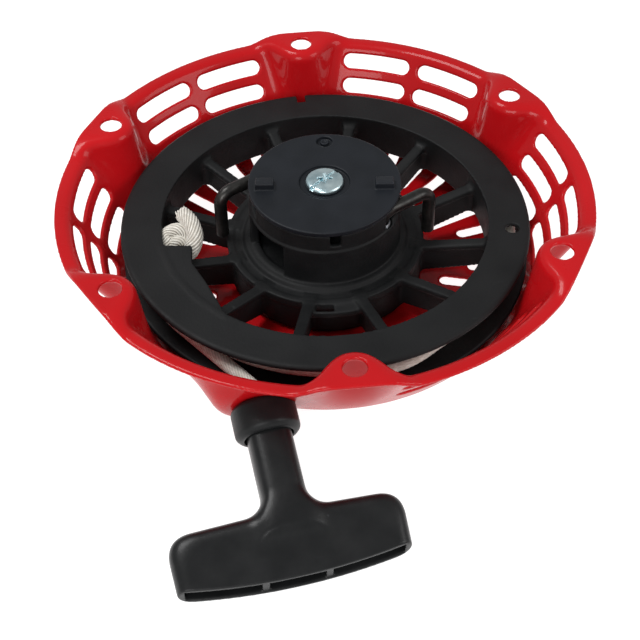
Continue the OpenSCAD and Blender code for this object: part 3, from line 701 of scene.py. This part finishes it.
verts, quads = surface_mesh(grip_field, (-41.0, -8.1, STEM_START), (38.4, 8.1, BAR_END), 0.34)
make_piece("grip_moulding", from_outlet(verts), quads, GRIP_BLACK, "handle", ["grip"])

# ---- rope ----

ROPE_STRANDS, ROPE_LAY, ROPE_GROOVE, CAP_BULGE = 14, 25.0, 0.24, 0.4


def smooth_path(points, spacing):
    """Evenly spaced points on a Catmull-Rom curve through the given ones."""
    p = np.asarray(points, float)
    p = np.vstack([2 * p[0] - p[1], p, 2 * p[-1] - p[-2]])
    fine = []
    for a, b, c, d in zip(p[:-3], p[1:-2], p[2:-1], p[3:]):
        t = np.linspace(0, 1, 24, endpoint=False)[:, None]
        fine.append(0.5 * (2 * b + (c - a) * t + (2 * a - 5 * b + 4 * c - d) * t ** 2
                           + (3 * b - a - 3 * c + d) * t ** 3))
    fine = np.vstack(fine + [p[-2:-1]])
    length = np.concatenate([[0], np.cumsum(np.linalg.norm(np.diff(fine, axis=0), axis=1))])
    even = np.linspace(0, length[-1], max(4, int(length[-1] / spacing)))
    return np.stack([np.interp(even, length, fine[:, k]) for k in range(3)], 1), even


def rope_tube(points, radius, spacing, sides=98, spread=None):
    """A rope of fine strands laid along a path, closed at both ends."""
    path, length = smooth_path(points, spacing)
    tangent = np.gradient(path, axis=0)
    tangent /= np.linalg.norm(tangent, axis=1)[:, None]
    normal = np.cross(tangent[0], [0.3, 0.2, 0.9])
    frames = []
    for t in tangent:
        normal = normal - t * (normal @ t)
        normal = normal / np.linalg.norm(normal)
        frames.append((normal, np.cross(t, normal)))
    frames = np.array(frames)
    phi = np.linspace(0, 2 * math.pi, sides, endpoint=False)
    lay = phi[None, :] - length[:, None] * 2 * math.pi / ROPE_LAY
    lobe = np.sqrt(np.abs(np.sin(lay * ROPE_STRANDS / 2)))
    r = radius * (1 - ROPE_GROOVE + ROPE_GROOVE * lobe)
    if spread is not None:
        r = r * spread(length / length[-1])[:, None]
    verts = path[:, None, :] + r[..., None] * (np.cos(phi)[None, :, None] * frames[:, None, 0]
                                               + np.sin(phi)[None, :, None] * frames[:, None, 1])
    rows, columns = np.arange(len(path) - 1)[:, None], np.arange(sides)[None, :]
    a, b = rows * sides + columns, rows * sides + (columns + 1) % sides
    quads = np.stack([a, b, b + sides, a + sides], -1).reshape(-1, 4)
    caps = []
    verts = np.vstack([verts.reshape(-1, 3), path[:1] - tangent[:1] * CAP_BULGE,
                       path[-1:] + tangent[-1:] * CAP_BULGE])
    last = (len(path) - 1) * sides
    for k in range(0, sides, 2):
        caps.append([len(verts) - 2, (k + 2) % sides, k + 1, k])
        caps.append([len(verts) - 1, last + k, last + k + 1, last + (k + 2) % sides])
    return verts, np.vstack([quads, caps])


def joined(parts):
    """Several tubes as one set of points and faces."""
    verts, faces, base = [], [], 0
    for v, f in parts:
        verts.append(v)
        faces.append(f + base)
        base += len(v)
    return np.vstack(verts), np.vstack(faces)


# Where the run leaves the reel: the tangent from the outlet to the rope's outer turn
reach = np.hypot(*OUTLET_AT[:2])
LEAVE = math.degrees(math.atan2(OUTLET_AT[1], OUTLET_AT[0]) - math.acos(ROPE_TURN_R / reach))
LEAVE_Z = -25.5

# Radius and height of the wound rope by the number of turns back from where the run leaves
COIL_TURNS = [0, 0.08, 0.22, 0.73, 0.775, 0.80, 0.83, 0.87, 0.94, 1.02, 1.70, 1.88, 2.72, 3.0, 3.07]
COIL_RADII = [69.5, 69.5, 69.0, 69.0, 69.8, 71.0, 71.1, 69.9, 69.4, 65.4, 65.4, 65.4, 65.4, 65.4, 64.6]
COIL_HEIGHTS = [-25.7, -25.3, -21.9, -21.9, -22.6, -24.4, -24.8, -23.5, -22.9,
                -20.2, -20.2, -26.5, -26.5, -22.6, -22.2]


def coil_path():
    """The wound rope's centre line, from the run back to the knot hole."""
    turns = np.arange(0, COIL_TURNS[-1], 1 / 72)
    r = np.interp(turns, COIL_TURNS, COIL_RADII)
    z = np.interp(turns, COIL_TURNS, COIL_HEIGHTS)
    angle = np.radians(LEAVE - 360 * turns)
    return np.stack([r * np.cos(angle), r * np.sin(angle), z], 1)


verts, quads = rope_tube(coil_path(), ROPE_R, 0.8, 70)
make_piece("rope_coil", verts, quads, ROPE, "reel", ["rope_wound"])
start = np.array([*polar(ROPE_TURN_R, LEAVE), LEAVE_Z])
reel_to_outlet = (OUTLET_AT - start) / np.linalg.norm(OUTLET_AT - start)
run = [start, start * 0.5 + OUTLET_AT * 0.5, OUTLET_AT - 3 * reel_to_outlet]
run += [OUTLET_AT + PULL * w for w in (3, 7, 12)]
verts, quads = rope_tube(run, ROPE_R, 0.6)
make_piece("rope_to_outlet", verts, quads, ROPE, "case", ["rope_run"])
verts, quads = rope_tube([OUTLET_AT + PULL * w for w in (17.5, 24, 31, 38.8)], ROPE_R, 0.6)
make_piece("rope_in_grip", verts, quads, ROPE, "handle", ["grip_rope"])


FRAY_SEED, YARN_R = 11, 0.42


def frayed_ends(at, heading, count, length):
    """Loose yarn ends that spread from a cut rope."""
    parts = []
    dice = np.random.default_rng(FRAY_SEED)
    heading = np.array(heading) / np.linalg.norm(heading)
    for _ in range(count):
        away = dice.normal(size=3)
        away -= heading * (away @ heading)
        away /= np.linalg.norm(away)
        root = np.array(at) + away * dice.uniform(0.3, 2.0)
        tip = root + heading * dice.uniform(0.6, 1) * length + away * dice.uniform(0.1, 0.9)
        bow = (root + tip) / 2 + away * 0.3
        parts.append(rope_tube([root - heading * 1.2, root, bow, tip], YARN_R, 0.35, 10,
                               lambda s: 1.0 - 0.45 * s))
    return parts


# The knot's lobes: the one through the hole, the one over it, and one that closes the loop
KNOT_UNDER = [(-66.0, -6.9, -22), (-62.0, -6.3, -22), (-60.3, -3.2, -21.0), (-59.3, 0.4, -19.4),
              (-55.6, 1.6, -18.3), (-51.8, 0.2, -19.3), (-50.0, -3.6, -22.2)]
KNOT_OVER = [(-55.0, -7.6, -22.6), (-51.2, -7.6, -21.0), (-48.9, -4.2, -17.6), (-49.6, 0.6, -15.6),
             (-51.3, 4.6, -15.4), (-52.9, 7.4, -15.8)]
KNOT_FILL = [(-60.5, -6.0, -23.4), (-58.6, -3.2, -21.8), (-54.8, -2.2, -20.6), (-51.4, -3.4, -22.0)]
knot = [rope_tube(KNOT_UNDER, 2.9, 0.4), rope_tube(KNOT_OVER, 3.1, 0.4), rope_tube(KNOT_FILL, 2.8, 0.4)]
knot += frayed_ends(KNOT_OVER[-1], (-0.35, 0.75, 0.35), 26, 2.4)
verts, quads = joined(knot)
make_piece("rope_knot_tied", verts, quads, ROPE, "reel", ["rope_knot"])

# ---- camera, light and floor ----

CAMERA_TURN, CAMERA_RISE, CAMERA_ROLL = math.radians(-5.31), math.radians(46.29), math.radians(-1.04)
CAMERA_AWAY, CAMERA_RIGHT, CAMERA_UP = 0.48155, -0.00167, -0.04967
CAMERA_LENS, CAMERA_SENSOR = 74.10, 36
LIGHT_AIM = (0, 0, -0.02)
FLOOR_GLOW, FLOOR_SIZE, FLOOR_GAP, WORLD_GLOW = 0.95, 6, 0.0003, 0.45


def add_camera():
    """The camera, seen from the CAD's origin by turn and rise, then shifted and rolled."""
    a, e = CAMERA_TURN, CAMERA_RISE
    back = Vector((math.sin(a) * math.cos(e), -math.cos(a) * math.cos(e), math.sin(e)))
    right = Vector((math.cos(a), math.sin(a), 0))
    up = back.cross(right)
    right, up = (right * math.cos(CAMERA_ROLL) + up * math.sin(CAMERA_ROLL),
                 up * math.cos(CAMERA_ROLL) - right * math.sin(CAMERA_ROLL))
    data = bpy.data.cameras.new("camera")
    data.lens, data.sensor_width = CAMERA_LENS, CAMERA_SENSOR
    data.clip_start, data.clip_end = 0.01, 50
    camera = bpy.data.objects.new("camera", data)
    bpy.context.scene.collection.objects.link(camera)
    place = back * CAMERA_AWAY + right * CAMERA_RIGHT + up * CAMERA_UP
    camera.matrix_world = Matrix.Translation(place) @ Matrix((right, up, back)).transposed().to_4x4()
    bpy.context.scene.camera = camera


def add_light(name, place, size, power):
    """A square area light aimed at the middle of the case."""
    data = bpy.data.lights.new(name, "AREA")
    data.shape, data.size, data.energy = "SQUARE", size, power
    light = bpy.data.objects.new(name, data)
    bpy.context.scene.collection.objects.link(light)
    light.location = place
    light.rotation_euler = (Vector(LIGHT_AIM) - Vector(place)).to_track_quat("-Z", "Y").to_euler()


def add_floor():
    """A pale plane that the case's far bottom edge and the grip both rest on."""
    low_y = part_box("grip")[0].y
    low_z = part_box("grip")[0].z
    far_y, far_z = BOTTOM_R * MM, BOTTOM * MM
    tilt = math.atan2(far_z - low_z, far_y - low_y)
    bpy.ops.mesh.primitive_plane_add(size=FLOOR_SIZE, location=(0, low_y, low_z - FLOOR_GAP),
                                     rotation=(tilt, 0, 0))
    floor = bpy.context.object
    floor.name = "floor"
    n = Nodes("floor_paper")
    shade = n.grey(n.noise(3, 2), 0.30, 0.32)
    floor.data.materials.append(n.finish(shade, 0.9, specular=0.1))
    n.shader.inputs["Emission Color"].default_value = (1, 1, 1, 1)
    n.shader.inputs["Emission Strength"].default_value = FLOOR_GLOW


add_camera()
add_light("key", (-0.45, 0.15, 0.95), 0.45, 7)
add_light("fill", (0.9, -0.4, 0.55), 0.6, 4)
add_light("front", (-0.35, -0.95, 0.5), 0.5, 5)
add_floor()
world = bpy.data.worlds.new("studio")
world.use_nodes = True
backdrop = world.node_tree.nodes["Background"].inputs
backdrop["Color"].default_value = (1, 1, 1, 1)
backdrop["Strength"].default_value = WORLD_GLOW
bpy.context.scene.world = world
bpy.context.scene.view_settings.view_transform = "Standard"
